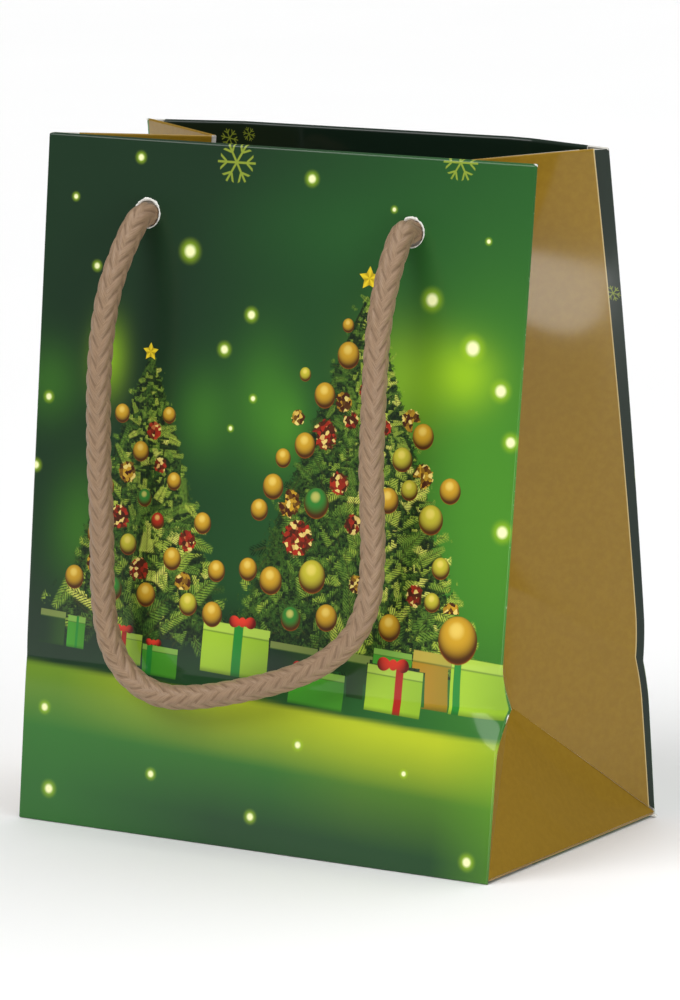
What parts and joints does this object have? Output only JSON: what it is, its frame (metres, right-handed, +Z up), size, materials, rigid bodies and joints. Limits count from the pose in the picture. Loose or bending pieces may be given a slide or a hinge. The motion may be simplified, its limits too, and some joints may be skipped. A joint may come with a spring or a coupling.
{
  "type": "gift bag",
  "caption": "Small glossy paper gift bag with pleated gussets, a glued satchel bottom and a braided rope handle on each face.",
  "frame": {"origin": "middle of the bottom, on the surface that the bag stands on", "axes": "+Z up, +X along the front panel to its right as seen from the front, -Y towards the front"},
  "size_m": [0.115, 0.0782, 0.1429],
  "materials": {
    "printed_paper": "gloss",
    "gold_paper": "gloss",
    "card": "matte",
    "board": "matte",
    "braided_rope": "matte"
  },
  "bodies": {
    "base": {"right_gusset_front": "gold_paper", "right_gusset_back": "gold_paper", "right_gusset_foot": "gold_paper", "right_gusset_front_hem": "gold_paper", "right_gusset_back_hem": "gold_paper", "left_gusset_front": "gold_paper", "left_gusset_back": "gold_paper", "left_gusset_foot": "gold_paper", "left_gusset_front_hem": "gold_paper", "left_gusset_back_hem": "gold_paper", "glue_lap": "printed_paper", "bottom_back_flap": "printed_paper", "bottom_front_flap": "printed_paper", "bottom_left_flap": "gold_paper", "bottom_right_flap": "gold_paper", "bottom_board": "board"},
    "front": {"front_panel": "printed_paper", "front_hem": "printed_paper", "front_card_strip": "card", "front_left_knot": "braided_rope", "front_right_knot": "braided_rope", "front_left_rope_bend": "braided_rope", "front_right_rope_bend": "braided_rope"},
    "back": {"back_panel": "printed_paper", "back_hem": "printed_paper", "back_card_strip": "card", "back_left_knot": "braided_rope", "back_right_knot": "braided_rope", "back_left_rope_bend": "braided_rope", "back_right_rope_bend": "braided_rope"},
    "front_handle": {"front_handle_rope": "braided_rope"},
    "back_handle": {"back_handle_rope": "braided_rope"}
  },
  "joints": [
    {"name": "front_panel_swing", "type": "hinge", "parent": "base", "child": "front", "pos_m": [0, -0.0345, 0.0004], "axis": [1, 0, 0], "range_deg": [-2.5, 7.2], "stiffness_Nm_per_rad": 0.08, "deforming": ["right_gusset_front", "left_gusset_front", "right_gusset_front_hem", "left_gusset_front_hem"]},
    {"name": "back_panel_swing", "type": "hinge", "parent": "base", "child": "back", "pos_m": [0, 0.0345, 0.0004], "axis": [-1, 0, 0], "range_deg": [-2.5, 7.2], "stiffness_Nm_per_rad": 0.08, "deforming": ["right_gusset_back", "left_gusset_back", "right_gusset_back_hem", "left_gusset_back_hem", "glue_lap"]},
    {"name": "front_handle_swing", "type": "hinge", "parent": "front", "child": "front_handle", "pos_m": [0, -0.0265, 0.1225], "axis": [-1, 0, 0], "range_deg": [0, 170], "deforming": ["front_left_rope_bend", "front_right_rope_bend"]},
    {"name": "back_handle_swing", "type": "hinge", "parent": "back", "child": "back_handle", "pos_m": [0, 0.0265, 0.1225], "axis": [1, 0, 0], "range_deg": [0, 170], "deforming": ["back_left_rope_bend", "back_right_rope_bend"]}
  ]
}
